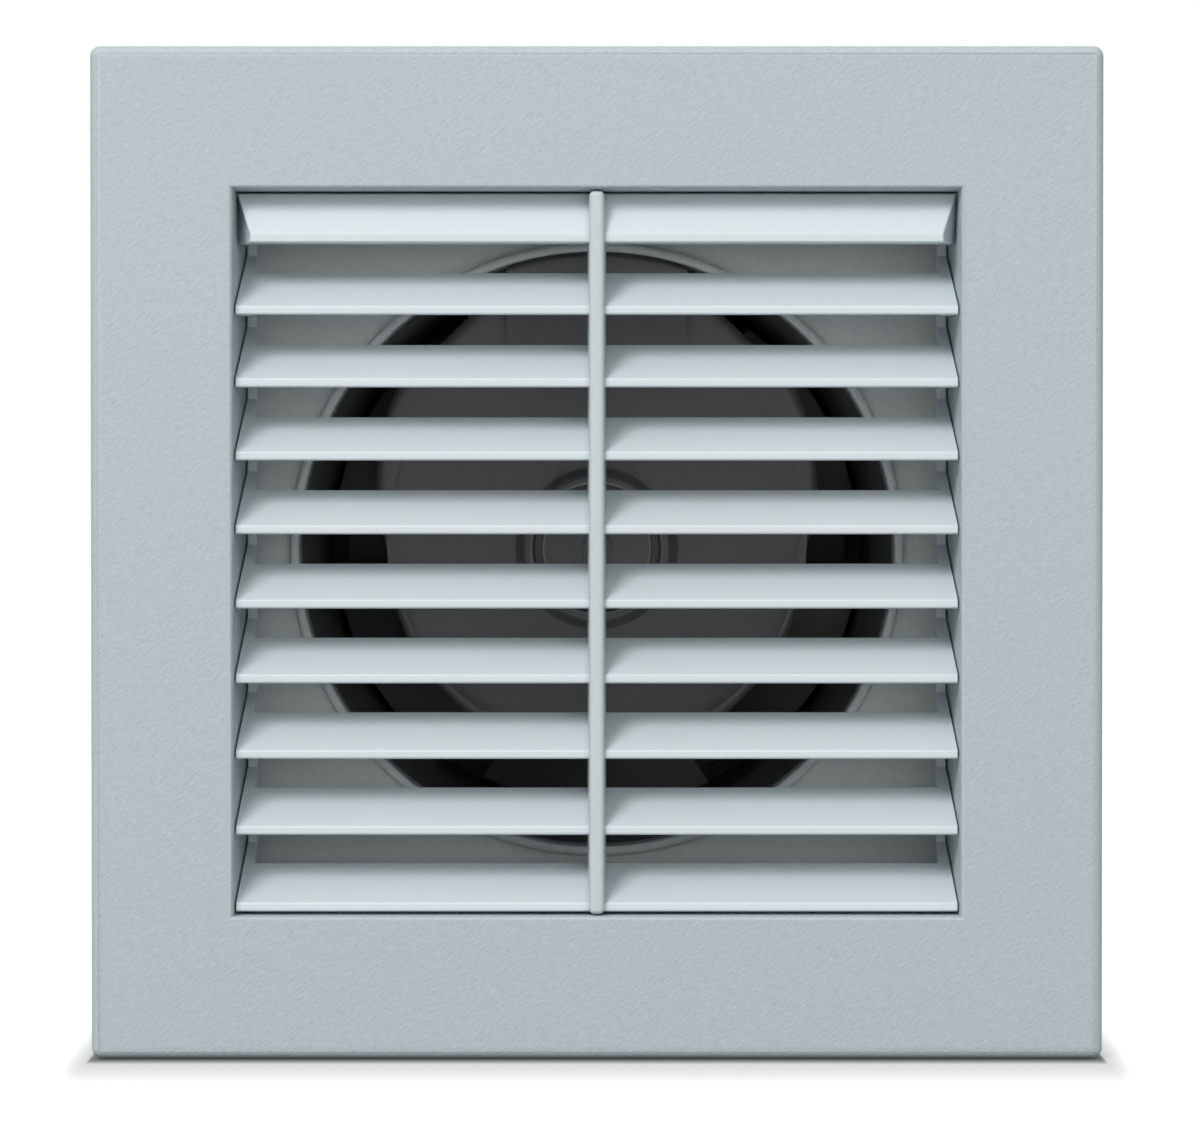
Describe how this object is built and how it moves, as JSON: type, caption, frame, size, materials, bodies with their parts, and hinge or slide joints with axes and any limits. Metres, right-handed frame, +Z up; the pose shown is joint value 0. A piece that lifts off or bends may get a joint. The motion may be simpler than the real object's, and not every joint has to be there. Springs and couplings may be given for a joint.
{
  "type": "window exhaust fan",
  "caption": "Square louvred wall or window exhaust fan with a round rear duct spigot, an axial impeller behind a motor pod, and backdraught flaps.",
  "frame": {"origin": "on the fan axis, in the plane of the panel that the body is screwed to", "axes": "-Y faces the room, +Y runs along the fan axis through the panel to the outside, +Z is up, +X is to the right as seen from the room"},
  "size_m": [0.165, 0.107, 0.165],
  "materials": {
    "frame_plastic": "pale blue-grey moulded plastic with a fine leather grain",
    "louvre_plastic": "smooth pale grey moulded plastic, satin",
    "body_plastic": "pale blue-grey moulded plastic with a fine grain",
    "fan_plastic": "dark grey moulded plastic, fine matt grain",
    "flap_plastic": "near-black moulded plastic, satin",
    "core_steel": "stacked bare electrical steel sheets",
    "bracket_steel": "zinc-plated pressed steel",
    "shaft_steel": "ground bright steel",
    "bronze": "sintered bronze and brass, dull",
    "copper": "enamelled copper wire",
    "bobbin_plastic": "off-white moulded nylon",
    "screw_zinc": "zinc-plated steel",
    "terminal_plastic": "white moulded nylon",
    "black_rubber": "soft black rubber, matt",
    "grey_foam": "closed-cell grey foam"
  },
  "bodies": {
    "housing": {"front_frame": "frame_plastic", "louvre_grille": "louvre_plastic", "mounting_body": "body_plastic", "cover_screw": "screw_zinc", "panel_gasket": "grey_foam", "duct_housing": "fan_plastic", "motor_carrier": "fan_plastic", "flange_screw_1": "screw_zinc", "flange_screw_2": "screw_zinc", "flange_screw_3": "screw_zinc", "flange_screw_4": "screw_zinc", "motor_cover": "fan_plastic", "stator_core": "core_steel", "coil_bobbin": "bobbin_plastic", "coil_winding": "copper", "bearing_bracket_front": "bracket_steel", "bearing_bracket_rear": "bracket_steel", "bearing_front": "bronze", "bearing_rear": "bronze", "motor_screw_1": "screw_zinc", "motor_screw_2": "screw_zinc", "flap_pin": "shaft_steel", "terminal_block": "terminal_plastic", "terminal_screw_1": "bronze", "terminal_screw_2": "bronze", "terminal_screw_3": "bronze", "terminal_lid": "fan_plastic", "lid_screw_1": "screw_zinc", "lid_screw_2": "screw_zinc", "cable_clamp": "fan_plastic", "clamp_screw_1": "screw_zinc", "clamp_screw_2": "screw_zinc", "cable_grommet": "black_rubber"},
    "impeller": {"rotor": "core_steel", "shaft": "shaft_steel", "impeller": "fan_plastic", "impeller_nut": "flap_plastic"},
    "flap_right": {"flap_right": "flap_plastic"},
    "flap_left": {"flap_left": "flap_plastic"}
  },
  "joints": [
    {"name": "impeller_spin", "type": "hinge", "parent": "housing", "child": "impeller", "pos_m": [0, 0, 0], "axis": [0, 1, 0], "continuous": true},
    {"name": "flap_right_swing", "type": "hinge", "parent": "housing", "child": "flap_right", "pos_m": [0, 0.0586, 0], "axis": [0, 0, 1], "range_deg": [0, 75], "stiffness_Nm_per_rad": 0.0002},
    {"name": "flap_left_swing", "type": "hinge", "parent": "housing", "child": "flap_left", "pos_m": [0, 0.0586, 0], "axis": [0, 0, -1], "range_deg": [0, 75], "stiffness_Nm_per_rad": 0.0002}
  ]
}
